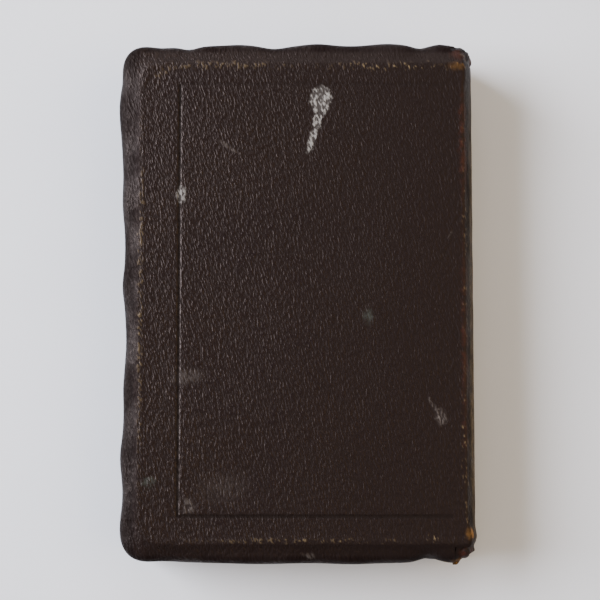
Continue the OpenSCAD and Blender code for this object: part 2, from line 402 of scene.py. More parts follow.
@dataclass(frozen=True)
class GrainedLeather:
    """Goat-grained sheepskin, dyed dark brown, boarded to a long pebble grain and lightly glazed.

    The glaze gives a soft sheen on the pebbles' left shoulders while the valleys stay dull and nearly black.
    """

    name: str = "grained_sheepskin_dyed_brown"
    valley: str = "130c0b"
    pebble: str = "181111"
    warm: str = "1a120f"
    tan: str = "77664a"
    red: str = "4a2418"
    ochre: str = "94692f"
    graze: str = "5f5852"
    paint: str = "85817b"
    bloom: str = "3f453f"
    # Near black: the hot tool's scorch on the ruled lines, and also the painted shade on the fore-edge flap.
    tool_scorch_and_painted_shade: str = "0b0706"
    lean: float = 17.0
    rules: tuple[Rule, ...] = ()
    marks: tuple[Mark, ...] = ()

    def grain(self, recipe: Recipe, *millimetres: float) -> bpy.types.NodeSocket:
        """Coordinates in units of the given millimetres, leaning the way the skin was boarded."""
        scale = [size * MM for size in millimetres]
        turned = {"Rotation": (0.0, 0.0, math.radians(self.lean)), "Scale": scale}
        return recipe.add("Mapping", recipe.here(), named=turned)

    def height(self, recipe: Recipe) -> bpy.types.NodeSocket:
        """The skin's relief, from 0 in the valleys to about 1 on the pebbles.

        Args:
            recipe: the material being built.

        Returns:
            The relief, lower towards the spine where handling has pressed the grain flat.
        """
        add = recipe.add
        # Pebbles are 0.9 mm across the lean and 1.7 mm along it, and drift so that none line up.
        drift = add("TexNoise", recipe.place(2.6, 3.4, 2.6), named=cloudy(3.0, 0.5), out="Color")
        warped = add("VectorMath MULTIPLY_ADD", drift, (1.5, 1.5, 1.5), self.grain(recipe, 0.9, 1.7, 1.0))
        cells = add("TexVoronoi", warped, named={"Scale": 1.0}, out="Distance")
        domes = add("MapRange", cells, 0.85, 0.05)
        # Each pebble is broken by finer creases, about 0.5 mm wide, running the same way.
        creases = add("TexNoise", self.grain(recipe, 0.46, 1.35, 0.55), named=cloudy(1.0, 0.45))
        fine = add("MapRange", creases, 0.28, 0.72)
        total = add("Math MULTIPLY_ADD", fine, 0.55, add("Math MULTIPLY", domes, 0.45))
        pressed = add("MapRange", recipe.axes()[0], -44.0, 44.0, 1.15, 0.7)
        return add("Math MULTIPLY", total, pressed)

    def patch(self, recipe: Recipe, place: object, mark: Mark) -> bpy.types.NodeSocket:
        """The share of the surface that one mark covers.

        Args:
            recipe: the material being built.
            place: coordinates with their fine unevenness already added.
            mark: the mark to place.

        Returns:
            A value from 0 outside to the mark's force inside.
        """
        lie = {
            "Location": [c * MM for c in mark.at],
            "Rotation": (0.0, 0.0, math.radians(mark.turn)),
            "Scale": [c * MM for c in mark.reach],
        }
        inside = recipe.add("Mapping", place, named=lie)
        length = recipe.add("VectorMath LENGTH", inside, out="Value")
        return recipe.add("MapRange", length, 1.0, 1.0 - mark.edge, 0.0, mark.force)

    def ruled(self, recipe: Recipe) -> bpy.types.NodeSocket | float:
        """The share of the surface that the hot tool has darkened along its lines."""
        add, axes = recipe.add, recipe.axes()
        total: bpy.types.NodeSocket | float = 0.0
        for rule in self.rules:
            off = add("Math ABSOLUTE", add("Math SUBTRACT", axes[rule.axis], rule.at))
            on = add("Math MULTIPLY", add("MapRange", off, 0.75, 0.3), rule.dark)
            middle, half = (rule.start + rule.stop) / 2, (rule.stop - rule.start) / 2
            within = add("Math COMPARE", axes[1 - rule.axis], middle, half)
            total = add("Math MAXIMUM", total, add("Math MULTIPLY", on, within))
        return total

    def cover(self, recipe: Recipe, place: object, harm: Harm) -> bpy.types.NodeSocket | float:
        """All marks of one kind together."""
        total: bpy.types.NodeSocket | float = 0.0
        for mark in self.marks:
            if mark.harm is harm:
                total = recipe.add("Math MAXIMUM", total, self.patch(recipe, place, mark))
        return total

    def harmed(self, recipe: Recipe, place: object, height: object, colour: object) -> bpy.types.NodeSocket:
        """Lay every kind of harm but paint over the dye.

        Args:
            recipe: the material being built.
            place: coordinates with their fine unevenness already added.
            height: the skin's relief, because wear takes the tops of the pebbles first.
            colour: the dye.

        Returns:
            The colour of the worn skin.
        """
        add = recipe.add
        # On the back, shelves have rubbed the valleys as well.
        bite = add(
            "Math MAXIMUM", add("MapRange", height, 0.42, 0.78),
            add("MapRange", recipe.axes()[0], 45.0, 46.4, 0.0, 0.5),
        )
        broken = add("MapRange", add("TexNoise", recipe.place(2.3), named=cloudy(4.0, 0.65)), 0.34, 0.64)
        loose = add("MapRange", broken, 0.0, 0.6, 0.25, 1.0)
        fray = add("Math MULTIPLY", bite, broken)
        for harm, shade, grip in (
            (Harm.REDDENED, self.red, broken),
            (Harm.FADED, self.bloom, broken),
            (Harm.SCUFFED, self.graze, add("MapRange", height, 0.2, 0.55, 0.1, 0.9)),
            (Harm.RUBBED, self.tan, add("Math MULTIPLY", bite, loose)),
            (Harm.RAW, self.ochre, add("MapRange", fray, 0.0, 0.35, 0.25, 1.0)),
        ):
            share = add("Math MULTIPLY", self.cover(recipe, place, harm), grip)
            colour = recipe.coats(colour, (share, shade))
        return colour

    def worn(self, recipe: Recipe) -> bpy.types.NodeSocket:
        """How far hands have worn the glaze off the rims and the back, except in patches."""
        add, axes = recipe.add, recipe.axes()
        fore = add("MapRange", axes[0], -42.3, -43.6)
        back = add("MapRange", axes[0], 44.6, 45.4)
        ends = add("MapRange", add("Math ABSOLUTE", axes[1]), 67.0, 68.6)
        handled = add("Math MAXIMUM", add("Math MAXIMUM", fore, back), ends)
        patches = add("TexNoise", recipe.place(7.0, 11.0, 7.0), named=cloudy(2.0))
        return add("Math MULTIPLY", handled, add("MapRange", patches, 0.30, 0.66, 1.0, 0.45))

    def build(self) -> bpy.types.Material:
        """Build the material.

        Returns:
            The leather with its grain, dye, wear and stains.
        """
        recipe = Recipe(self.name, bends=True)
        add = recipe.add
        height = self.height(recipe)
        slow = add("MapRange", add("TexNoise", recipe.place(22.0, 26.0, 20.0), named=cloudy(4.0)), 0.32, 0.68)
        dye = recipe.coats(linear(self.pebble), (slow, self.warm))
        tops = add("MapRange", height, 0.30, 0.85)
        colour = add("Mix", tops, named={UNDER: linear(self.valley), OVER: dye}, out=2)

        # Every mark's edge is uneven by about a millimetre.
        jitter = add("TexNoise", recipe.place(1.3, 1.6, 1.3), named=cloudy(3.0, 0.5), out="Color")
        shift = add("VectorMath MULTIPLY_ADD", jitter, (2.4 * MM,) * 3, (-1.2 * MM,) * 3)
        place = add("VectorMath ADD", recipe.here(), shift)
        colour = self.harmed(recipe, place, height, colour)
        ruled = self.ruled(recipe)
        scorched = add("Math MULTIPLY", ruled, 0.85)
        # Painted shade: the fore-edge flap, from x -43.2 mm outwards, is darkened in its colour up to halfway
        # to near black.
        fore_edge_painted_shade = add("MapRange", recipe.axes()[0], -43.2, -44.8, 0.0, 0.5)
        wet = self.cover(recipe, place, Harm.PAINTED)
        skin = add("Math MULTIPLY", wet, add("MapRange", height, 0.30, 0.66, 0.12, 1.0))
        colour = recipe.coats(colour, (scorched, self.tool_scorch_and_painted_shade), (fore_edge_painted_shade, self.tool_scorch_and_painted_shade), (skin, self.paint))

        worn = self.worn(recipe)
        gloss = add("Math MULTIPLY_ADD", worn, 0.16, add("MapRange", tops, 0.0, 1.0, 0.46, 0.30))
        # The hot tool has pressed the grain nearly flat along its lines.
        left = add("Math SUBTRACT", 1.0, add("Math MULTIPLY", ruled, 0.8))
        inputs = {
            "Base Color": colour,
            "Roughness": add("Math MULTIPLY_ADD", wet, 0.2, gloss),
            "Specular IOR Level": add("MapRange", worn, 0.0, 1.0, 0.2, 0.05),
            "IOR": 1.48,
            "Specular Tint": linear("ffe6d8"),
        }
        return recipe.finish(inputs, add("Math MULTIPLY", height, left), 0.15)


@dataclass(frozen=True)
class AgedPaper:
    """Thin wove paper browned by age: matt, faintly cloudy, darker towards its edges and foxed.

    Args:
        name: the material's name.
        sheet: colour of the sheet's middle.
        brown: colour of its edges.
        spots: colour of the foxing.
        ink: colour of the print stand-ins.
        red_ink: colour of the ruled frame.
        half: half width and half height of the sheet in mm.
        middle: X of the sheet's middle in mm.
        printed: whether ruled frames and rows of print stand-ins are drawn.
    """

    name: str = "wove_paper_aged"
    sheet: str = "e6dbbd"
    brown: str = "c7ac78"
    spots: str = "a9793f"
    ink: str = "2f2a26"
    red_ink: str = "8c2f25"
    half: tuple[float, float] = (42.5, 62.5)
    middle: float = 3.6
    printed: bool = False

    def build(self) -> bpy.types.Material:
        """Build the material.

        Returns:
            The paper, with or without its rows of print stand-ins.
        """
        recipe = Recipe(self.name)
        add = recipe.add
        centre = add("VectorMath ADD", recipe.place(1.0), (-self.middle, 0.0, 0.0))
        axes = add("SeparateXYZ", centre).node.outputs
        side, end = (
            add("Math SUBTRACT", half, add("Math ABSOLUTE", axis))
            for half, axis in zip(self.half, axes)
        )
        inset = add("Math MINIMUM", side, end)
        cloud = add("TexNoise", recipe.place(14.0, 18.0, 14.0), named=cloudy(4.0))
        toned = add(
            "Math ADD", add("MapRange", inset, 12.0, 0.0, 0.0, 0.85),
            add("MapRange", cloud, 0.35, 0.8, 0.0, 0.35), use_clamp=True,
        )
        specks = add("TexNoise", recipe.place(3.2), named=cloudy(1.0))
        foxing = add("MapRange", specks, 0.70, 0.78, 0.0, 0.5)
        colour = recipe.coats(linear(self.sheet), (toned, self.brown), (foxing, self.spots))
        if self.printed:
            colour = self.print_rows(recipe, axes, inset, colour)
        tooth = add("TexNoise", recipe.place(0.4), named=cloudy(3.0))
        inputs = {"Base Color": colour, "Roughness": 0.85, "Specular IOR Level": 0.3}
        return recipe.finish(inputs, tooth, 0.02, 0.5)

    def print_rows(
        self, recipe: Recipe, axes: Sequence, inset: object, colour: object
    ) -> bpy.types.NodeSocket:
        """Draw a ruled frame and rows of short dashes that stand for print, with no letter shapes.

        Args:
            recipe: the material being built.
            axes: X, Y and Z outputs in mm from the sheet's middle.
            inset: distance in mm to the nearest edge of the sheet.
            colour: the paper's colour so far.

        Returns:
            The colour with the printing on it.
        """
        add = recipe.add
        ruled = add("Math MULTIPLY", add("Math COMPARE", inset, 8.0, 0.22), 0.75)
        # Rows are 3.4 mm apart with 1.3 mm high dashes, and each row breaks into words at its own places.
        row = add("Math MULTIPLY_ADD", axes[1], 1 / 3.4, 100.0)
        inked = add("Math LESS_THAN", add("Math FRACT", row), 0.38)
        row = add("Math FLOOR", row)
        for per_millimetre, detail, low, high in ((0.42, 0.0, 0.36, 0.42), (2.6, 1.0, 0.30, 0.48)):
            along = add("Math MULTIPLY", axes[0], per_millimetre)
            breaks = add("TexNoise", add("CombineXYZ", along, row), named=cloudy(detail, 0.5))
            inked = add("Math MULTIPLY", inked, add("MapRange", breaks, low, high))
        block = add("Math MULTIPLY", add("Math GREATER_THAN", inset, 10.5), 0.7)
        share = add("Math MULTIPLY", inked, block)
        return recipe.coats(colour, (ruled, self.red_ink), (share, self.ink))


@dataclass(frozen=True)
class RedUnderGilt:
    """Page edges stained red, then gilded and burnished; the gold is rubbed through to red where handled."""

    name: str = "page_edges_gilt_over_red"
    gold: str = "a8884a"
    stain: str = "7d3325"
    paper: str = "9a7f55"
    gap: str = "2c1a12"

    def build(self) -> bpy.types.Material:
        """Build the material."""
        recipe = Recipe(self.name)
        add = recipe.add
        # Leaves are about 0.12 mm thick; every second one is drawn so that the lines still show.
        leaves = add("TexNoise", recipe.place(60.0, 60.0, 0.24), named=cloudy(1.0, 0.6))
        handling = add("TexNoise", recipe.place(15.0, 15.0, 5.0), named=cloudy(5.0, 0.6))
        rub = add("MapRange", handling, 0.36, 0.70, 0.0, 0.75)
        dirt = add("TexNoise", recipe.place(3.0, 3.0, 0.8), named=cloudy(4.0))
        grubby = add("MapRange", dirt, 0.5, 0.8, 0.0, 0.6)
        gaps = add("MapRange", add("MapRange", leaves, 0.36, 0.5), 0.0, 1.0, 0.65, 0.0)
        coats = (rub, self.stain), (grubby, self.paper), (gaps, self.gap)
        inputs = {
            "Base Color": recipe.coats(linear(self.gold), *coats),
            "Metallic": add("MapRange", rub, 0.0, 1.0, 0.75, 0.0),
            "Roughness": add("MapRange", rub, 0.0, 1.0, 0.38, 0.7),
        }
        return recipe.finish(inputs, leaves, 0.08, 0.8)


@dataclass(frozen=True)
class WovenCloth:
    """Plain-woven cloth: crossing threads with dark gaps, quite matt.

    Args:
        name: the material's name.
        thread: colour of the threads.
        gap: colour between them.
        pitch: thread spacing in mm.
    """

    name: str
    thread: str
    gap: str
    pitch: float

    def build(self) -> bpy.types.Material:
        """Build the material."""
        recipe = Recipe(self.name, bends=True)
        add, axes = recipe.add, recipe.axes(self.pitch)
        warp, weft = (
            add("Math ABSOLUTE", add("Math SINE", turn))
            for turn in (add("Math MULTIPLY", axis, math.pi) for axis in axes[1:])
        )
        cloth = add("Math MAXIMUM", warp, weft)
        fluff = add("TexNoise", recipe.place(0.5), named=cloudy(3.0))
        share = add(
            "Math MULTIPLY", add("MapRange", cloth, 0.45, 0.85),
            add("MapRange", fluff, 0.1, 0.6, 0.6, 1.0),
        )
        colour = recipe.coats(linear(self.gap), (share, self.thread))
        return recipe.finish({"Base Color": colour, "Roughness": 0.9}, cloth, 0.08, 0.7)


@dataclass(frozen=True)
class PressedBoard:
    """Millboard or card: matt pressed pulp with short fibres and flecks."""

    name: str
    pulp: str
    fleck: str
    bends: bool = False

    def build(self) -> bpy.types.Material:
        """Build the material."""
        recipe = Recipe(self.name, self.bends)
        add = recipe.add
        fibres = add("TexNoise", recipe.place(1.6, 0.5, 0.3), named=cloudy(4.0, 0.65))
        felted = add("MapRange", fibres, 0.35, 0.7, 0.0, 0.35)
        specks = add("TexNoise", recipe.place(0.9, 0.9, 0.4), named=cloudy(2.0))
        flecks = add("MapRange", specks, 0.62, 0.72, 0.0, 0.7)
        colour = recipe.coats(linear(self.pulp), (felted, self.fleck), (flecks, self.fleck))
        return recipe.finish({"Base Color": colour, "Roughness": 0.92}, fibres, 0.05, 0.6)


@dataclass(frozen=True)
class SewnSilk:
    """Silk sewn in two colours round a core: bands 0.9 mm wide of fine bright threads."""

    name: str = "silk_sewn_red_and_cream"
    red: str = "7c2c28"
    cream: str = "d6c59b"
    dirt: str = "4a3628"
    band: float = 0.9

    def build(self) -> bpy.types.Material:
        """Build the material."""
        recipe = Recipe(self.name, bends=True)
        add, along = recipe.add, recipe.axes(self.band)[2]
        stripe = add("Math SINE", add("Math MULTIPLY", along, math.pi))
        strands = add("Math SINE", add("Math MULTIPLY", along, math.pi * 4))
        threads = add("Math ABSOLUTE", strands)
        bands = add("MapRange", stripe, -0.2, 0.2)
        smudges = add("TexNoise", recipe.place(1.2), named=cloudy(3.0))
        dirty = add("MapRange", smudges, 0.4, 0.75, 0.0, 0.55)
        colour = recipe.coats(linear(self.red), (bands, self.cream), (dirty, self.dirt))
        inputs = {"Base Color": colour, "Roughness": 0.5, "Sheen Weight": 0.3}
        return recipe.finish(inputs, threads, 0.12, 0.9)


@dataclass(frozen=True)
class PaintedTop:
    """A table top painted flat white: matt, with the faintest cloudiness."""

    name: str = "table_top_matt_white"
    colour: str = "e0e0e2"
    cloud: str = "d6d6d7"

    def build(self) -> bpy.types.Material:
        """Build the material."""
        recipe = Recipe(self.name)
        add = recipe.add
        slow = add("TexNoise", recipe.place(60.0), named=cloudy(2.0))
        share = add("MapRange", slow, 0.3, 0.7, 0.0, 0.25)
        colour = recipe.coats(linear(self.colour), (share, self.cloud))
        recipe.fill(recipe.shader, {"Base Color": colour, "Roughness": 0.6})
        return recipe.material


# ---------------------------------------------------------------- the book's measures


class Side(Enum):
    """Which cover a piece belongs to."""

    FRONT = "front"
    BACK = "back"

    @property
    def block(self) -> str:
        """The body that this cover hangs from."""
        return f"{self.value}_block"

    @property
    def cover(self) -> str:
        """The cover's own body."""
        return f"{self.value}_cover"


@dataclass(frozen=True)
class Ripple:
    """One swell or dip along an edge: its place, half width and height in mm."""

    at: float
    half_width: float
    out: float

    def value(self, place: float) -> float:
        """How far out this ripple pushes at a place along the edge."""
        return self.out * hump(place, self.at, self.half_width)


FORE_RIPPLES = (
    Ripple(54, 8, 1.0), Ripple(46, 17, 1.1), Ripple(26, 6, 0.5), Ripple(4, 4.5, 0.6),
    Ripple(-11, 7, -0.5), Ripple(-24, 4, 0.2), Ripple(-42, 6, 0.8), Ripple(-60, 5, 0.7),
)
HEAD_RIPPLES = (
    Ripple(-38, 5, -0.5), Ripple(-30, 3, -0.9), Ripple(-16.5, 5, 0.4), Ripple(-6.7, 4, -0.8),
    Ripple(5, 5, 0.6), Ripple(24, 6, 0.6), Ripple(33, 2.6, -0.7), Ripple(38.5, 3, 0.5),
)
TAIL_RIPPLES = (
    Ripple(-36, 6, -0.4), Ripple(-10, 9, 0.3), Ripple(14, 8, 0.35), Ripple(34.5, 3.4, -1.3),
)
# The ridge's swells beside the tail cap and the head cap.
FLARES = (Ripple(-63.1, 2.9, 0.95), Ripple(61.6, 2.6, 0.35))


@dataclass
class Measures:
    """Places that several pieces share, in mm, read from the frame.

    The spine is an arc: its centre is left of the folds, at the middle of the thickness.

    Args:
        spine_round: how far the folds stand out in the middle of the spine.
        leather: the leather's thickness.
        ridge_r: radius of the ridge between the spine and each cover.
    """

    spine_round: float = 2.0
    leather: float = 0.8
    ridge_r: float = 1.2
    low: Vector = field(init=False)
    high: Vector = field(init=False)
    mid_z: float = field(init=False)
    arc_r: float = field(init=False)
    arc_x: float = field(init=False)
    fold_r: float = field(init=False)
    half: float = field(init=False)
    arc_run: float = field(init=False)
    roll_run: float = field(init=False)
    flat_end: float = field(init=False)

    def __post_init__(self) -> None:
        """Read the boxes of the spine leather and the sections."""
        self.low, self.high = span("spine_leather")
        self.mid_z = (self.low.z + self.high.z) / 2
        half = (span("section_16")[1].z - span("section_01")[0].z) / 2
        self.fold_r = (half * half + self.spine_round**2) / (2 * self.spine_round)
        self.arc_x = self.folds_out() - self.fold_r
        self.arc_r = self.high.x - self.arc_x
        self.half = (self.high.z - self.low.z) / 2
        start = math.asin((self.half - self.ridge_r) / (self.arc_r - self.ridge_r))
        self.arc_run = start * self.arc_r
        self.roll_run = self.arc_run + self.ridge_r * (math.pi / 2 - start)
        self.flat_end = self.arc_x + (self.arc_r - self.ridge_r) * math.cos(start)

    @staticmethod
    def folds_out() -> float:
        """X of the outermost fold, which the tapes lie on."""
        return span("sewing_tapes")[1].x - TAPE

    def section(self, run: float, inset: float = 0.0) -> tuple[float, float]:
        """A place on the cross-section of the back: an arc, a rounded ridge, then a level top.

        Args:
            run: length along the leather from the middle of the thickness, in mm.
            inset: depth below the leather's face, in mm.

        Returns:
            X, and the height above the middle of the thickness, in mm.
        """
        tilt = min(run, self.arc_run) / self.arc_r
        if run <= self.arc_run:
            x, z = self.arc_x + self.arc_r * math.cos(tilt), self.arc_r * math.sin(tilt)
        else:
            tilt = min(tilt + (run - self.arc_run) / self.ridge_r, math.pi / 2)
            x = self.flat_end + self.ridge_r * math.cos(tilt) - max(0.0, run - self.roll_run)
            z = self.half - self.ridge_r * (1 - math.sin(tilt))
        return x - inset * math.cos(tilt), z - inset * math.sin(tilt)

    @staticmethod
    def flare(y: float) -> float:
        """How far the ridge swells out beside each cap of the back cover, in mm."""
        return sum(swell.value(y) for swell in FLARES)


# ---------------------------------------------------------------- leather


@dataclass
class CoverSkin:
    """The leather of one cover: face, crease, drooping edge, its rolled rim and the turn-in.

    It is one sheet. It leaves the crease down a sloping facet, bends, drops to a rim, rolls
    back inside and is turned over the board's inner face. Lengths are in mm.

    Args:
        side: which cover it is.
        measures: the book's measures.
        leather: its material.
        corner: radius of the board's corners.
        slope: slope of the facet in degrees.
        bend: radius of the bend below the facet.
        wall: thickness of the doubled drooping edge.
        turn_in: how far the leather is seen on the board's inner face.
        relief: width left free beside the joint.
        lap: how far it lies over the spine leather.
        tool_fore: place of the ruled line from the fore-edge.
        tool_head: place of the ruled line from the head.
        tool_tail: place of the ruled line from the tail.
        tool_depth: depth of the ruled lines.
        swell: how unevenly the face lies.
        fore_rest: the fore-edge's mean stand past its box, to which the ripples add.
        head_rest: the same at the head.
        tail_rest: the same at the tail.
        head_corner: how far the head corner stands out.
        tail_corner: how far the tail corner stands out.
        curl: radius of the small turns onto the board.
        sag: how unevenly the edge droops.
        lift: how far the edge lifts for each mm that it stands out.
        crease: how far the crease stands above the face.
    """

    side: Side
    measures: Measures
    leather: bpy.types.Material
    corner: float = 6.0
    slope: float = 20.0
    bend: float = 3.0
    wall: float = 1.3
    turn_in: float = 4.0
    relief: float = 1.0
    lap: float = 0.9
    tool_fore: float = 10.7
    tool_head: float = 5.6
    tool_tail: float = 7.0
    tool_depth: float = 0.11
    swell: float = 0.14
    fore_rest: float = -0.75
    head_rest: float = 0.75
    tail_rest: float = 0.45
    head_corner: float = 2.4
    tail_corner: float = 1.7
    curl: float = 0.25
    sag: float = 0.55
    lift: float = 0.25
    crease: float = 0.16
    path: list[tuple[float, float, int]] = field(init=False)

    def __post_init__(self) -> None:
        """Read the cover's box and lay out the leather's path past the crease."""
        board_low, board_high = span(f"{self.side.value}_board")
        skin_low, skin_high = span(f"{self.side.value}_leather")
        self.fore = board_low.x
        self.inner = board_high.x
        self.half_h = board_high.y
        self.reach = board_low.x - skin_low.x
        self.depth = skin_high.z - skin_low.z
        slope = math.radians(self.slope)
        rest = math.pi / 2 - slope
        run = (self.reach - self.bend * (1 - math.sin(slope))) / math.cos(slope)
        fall = run * math.sin(slope) + self.bend * math.cos(slope)
        rim = self.wall / 2
        drop = self.depth - fall - rim
        back = (run * math.cos(slope) - self.wall * math.sin(slope) - self.measures.leather) / math.cos(slope)
        # Each leg of the path: its length, how far it turns, and the number of steps it is drawn in.
        self.path = [
            (run, 0.0, 6),
            (self.bend * rest, rest, 7),
            (drop, 0.0, 5),
            (math.pi * rim, math.pi, 8),
            (drop, 0.0, 4),
            ((self.bend - self.wall) * rest, -rest, 5),
            (back - self.curl, 0.0, 3),
            (self.curl * (math.pi / 2 + slope), -math.pi / 2 - slope, 3),
            (self.curl, 0.0, 1),
            (self.curl * math.pi / 2, math.pi / 2, 3),
            (self.turn_in, 0.0, 3),
        ]

    def along(self, run: float) -> tuple[float, float]:
        """How far out and down the leather is after a run from the crease.

        Args:
            run: length along the leather in mm.

        Returns:
            Distance out from the crease and down from the face, in mm.
        """
        out, down, heading = 0.0, 0.0, math.radians(self.slope)
        for length, turn, _ in self.path:
            part = min(run, length)
            if abs(turn) < 1e-9:
                out += part * math.cos(heading)
                down += part * math.sin(heading)
            else:
                radius, swing = length / turn, turn * part / length
                out += radius * (math.sin(heading + swing) - math.sin(heading))
                down += radius * (math.cos(heading) - math.cos(heading + swing))
                heading += swing
            run -= part
            if run <= 1e-9:
                break
        return out, down

    def stations(self) -> list[float]:
        """Runs past the crease at which a grid line is laid."""
        runs, start = [], 0.0
        for length, _, count in self.path:
            runs += [start + length * (i + 1) / count for i in range(count)]
            start += length
        return runs

    def ruled_line(self, place: float) -> list[float]:
        """Grid lines that draw one tooled line in the leather."""
        return [place + offset for offset in (-1.0, -0.55, -0.28, 0.0, 0.28, 0.55, 1.0)]

    def lines(self, start: float, stop: float, ruled: Sequence[float]) -> list[float]:
        """Grid lines from start to stop, close together at each tooled line."""
        close = [line for place in ruled for line in self.ruled_line(place)]
        plain = [s for s in steps(start, stop, 1.35) if all(abs(s - place) > 1.3 for place in ruled)]
        return sorted(plain + close)

    def ripple(self, place_x: float, place_y: float, way: Vector) -> float:
        """How far the edge stands out past its mean line, in mm."""
        shift = 0.0 if self.side is Side.BACK else 9.0
        fore = sum(r.value(place_y + shift) for r in FORE_RIPPLES) + self.fore_rest
        if way.y > 0:
            ends, rest, corner = HEAD_RIPPLES, self.head_rest, self.head_corner
        else:
            ends, rest, corner = TAIL_RIPPLES, self.tail_rest, self.tail_corner
        end = sum(r.value(place_x + shift * 0.5) for r in ends) + rest
        return fore * way.x**2 + end * way.y**2 + corner * (2 * way.x * way.y) ** 2

    def tooled(self, x: float, y: float) -> float:
        """Depth of the blind-tooled rule at a place on the face."""
        rule_x = self.fore + self.tool_fore
        top, bottom = self.half_h - self.tool_head, self.tool_tail - self.half_h
        deep = 0.0
        if bottom - 0.3 <= y <= top + 0.3:
            deep = hump(x, rule_x, 0.36)
        if rule_x - 0.3 <= x:
            fade = 1 - 0.7 * ease((x - self.inner + 12) / 8)
            deep = max(deep, 0.4 * fade * hump(y, top, 0.4), 0.8 * fade * hump(y, bottom, 0.36))
        return deep * self.tool_depth

    def way_out(self, flat: Vector) -> tuple[Vector, Vector, float]:
        """Where a point of the flat sheet lies from the board's outline.

        Args:
            flat: the point on the flat sheet, in mm.

        Returns:
            The place that its row of grid lines fans out from, the way out, and the distance along it.
        """
        centre_x, centre_y = self.fore + self.corner, self.half_h - self.corner
        past_x, past_y = centre_x - flat.x, abs(flat.y) - centre_y
        up = math.copysign(1.0, flat.y)
        base = Vector((max(flat.x, centre_x), max(-centre_y, min(centre_y, flat.y)), 0.0))
        if past_x > 0 and past_y > 0:
            distance = max(past_x, past_y)
            share = min(past_x, past_y) / distance * math.pi / 4
            angle = share if past_x >= past_y else math.pi / 2 - share
            way = Vector((-math.cos(angle), up * math.sin(angle), 0.0))
        else:
            distance = max(past_x, past_y, 0.0)
            way = Vector((-1.0, 0.0, 0.0)) if past_x >= past_y else Vector((0.0, up, 0.0))
        return base, way, distance

    def settle(self, flat: Vector) -> tuple[float, float, float]:
        """Take a point of the flat sheet to its place on the cover.

        Args:
            flat: the point on the flat sheet, in mm.

        Returns:
            Its place in the book, in mm.
        """
        base, way, distance = self.way_out(flat)
        run = distance - self.corner
        out, down = self.along(run) if run > 0 else (run, 0.0)
        place = base + way * (self.corner + out if distance > 0 else 0.0)
        # 0 at the crease and 1 at the rim.
        edge = ease(out / self.reach) if run > 0 else 0.0
        wave = self.ripple(place.x, place.y, way)
        back = self.side is Side.BACK
        sway = noise.noise(Vector((place.x * 0.09, place.y * 0.09, 3.0 if back else 9.0)))
        place += way * (edge * wave)
        down += edge * (self.sag * sway - self.lift * wave)
        down += self.near_spine(place, edge)
        if run <= 0:
            down += self.tooled(place.x, place.y)
            if back:
                down -= self.swell * noise.noise(Vector((place.x * 0.045, place.y * 0.045, 1.7))) - 0.05
        down -= self.crease * hump(run, 0.1, 0.9) if -4 < run < 5 else 0.0
        x, height = place.x, self.measures.half
        if flat.x > self.measures.flat_end:
            along = self.measures.roll_run - flat.x + self.measures.flat_end
            x, height = self.measures.section(along, -0.025)
        if back:
            x += self.measures.flare(place.y) * ease((flat.x - self.measures.flat_end + 2.0) / 3.0)
        height *= 1 - down / self.measures.half
        z = self.measures.mid_z + (height if back else -height)
        return x, place.y, max(z, 0.0)

    def near_spine(self, place: Vector, edge: float) -> float:
        """Extra drop where the edge is drawn in and crumpled beside the end caps."""
        if edge <= 0.0:
            return 0.0
        drawn = ease((place.x - self.inner + 10.5) / 2.5)
        crumple = 0.4 * noise.noise(Vector((place.x * 0.5, place.y * 0.4, 5.0)))
        return edge * drawn * (0.2 + crumple)

    def build(self) -> bpy.types.Object:
        """Model the sheet, cut the notch beside the cap and fold it.

        Returns:
            The finished skin.
        """
        runs = self.stations()
        rule_x = self.fore + self.tool_fore
        rules_y = [self.tool_tail - self.half_h, self.half_h - self.tool_head]
        ridge = self.measures.flat_end
        last = ridge + self.measures.roll_run - self.measures.arc_run + self.lap
        end = self.inner - 1.1 - self.relief
        columns = [self.fore - run for run in reversed(runs)]
        columns += steps(self.fore, self.fore + self.corner, 1.2)
        columns += self.lines(self.fore + self.corner, end, [rule_x])
        columns += steps(end, ridge, 0.5) + steps(ridge, last, 0.22) + [last]
        rows = [-self.half_h - run for run in reversed(runs)]
        rows += steps(-self.half_h, self.corner - self.half_h, 1.2)
        rows += self.lines(self.corner - self.half_h, self.half_h - self.corner, [])
        rows += steps(self.half_h - self.corner, self.half_h, 1.2) + [self.half_h]
        rows += [self.half_h + run for run in runs]
        rows = sorted(
            [r for r in rows if all(abs(r - place) > 0.9 for place in rules_y)]
            + [line for place in rules_y for line in self.ruled_line(place)]
        )
        skin = ruled_sheet(f"{self.side.value}_cover_skin", columns, rows)
        cut_away(skin, lambda c: c.x > end and abs(c.y) > self.half_h + 1.2)
        shape(skin, self.settle)
        if self.side is Side.FRONT:
            edit(skin, bpy.ops.mesh.flip_normals)
        soften(skin, 60)
        keep_places(skin)
        dress(skin, self.leather)
        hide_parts(f"{self.side.value}_leather")
        self.side.block
        self.side.cover
        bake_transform(skin)
        return skin


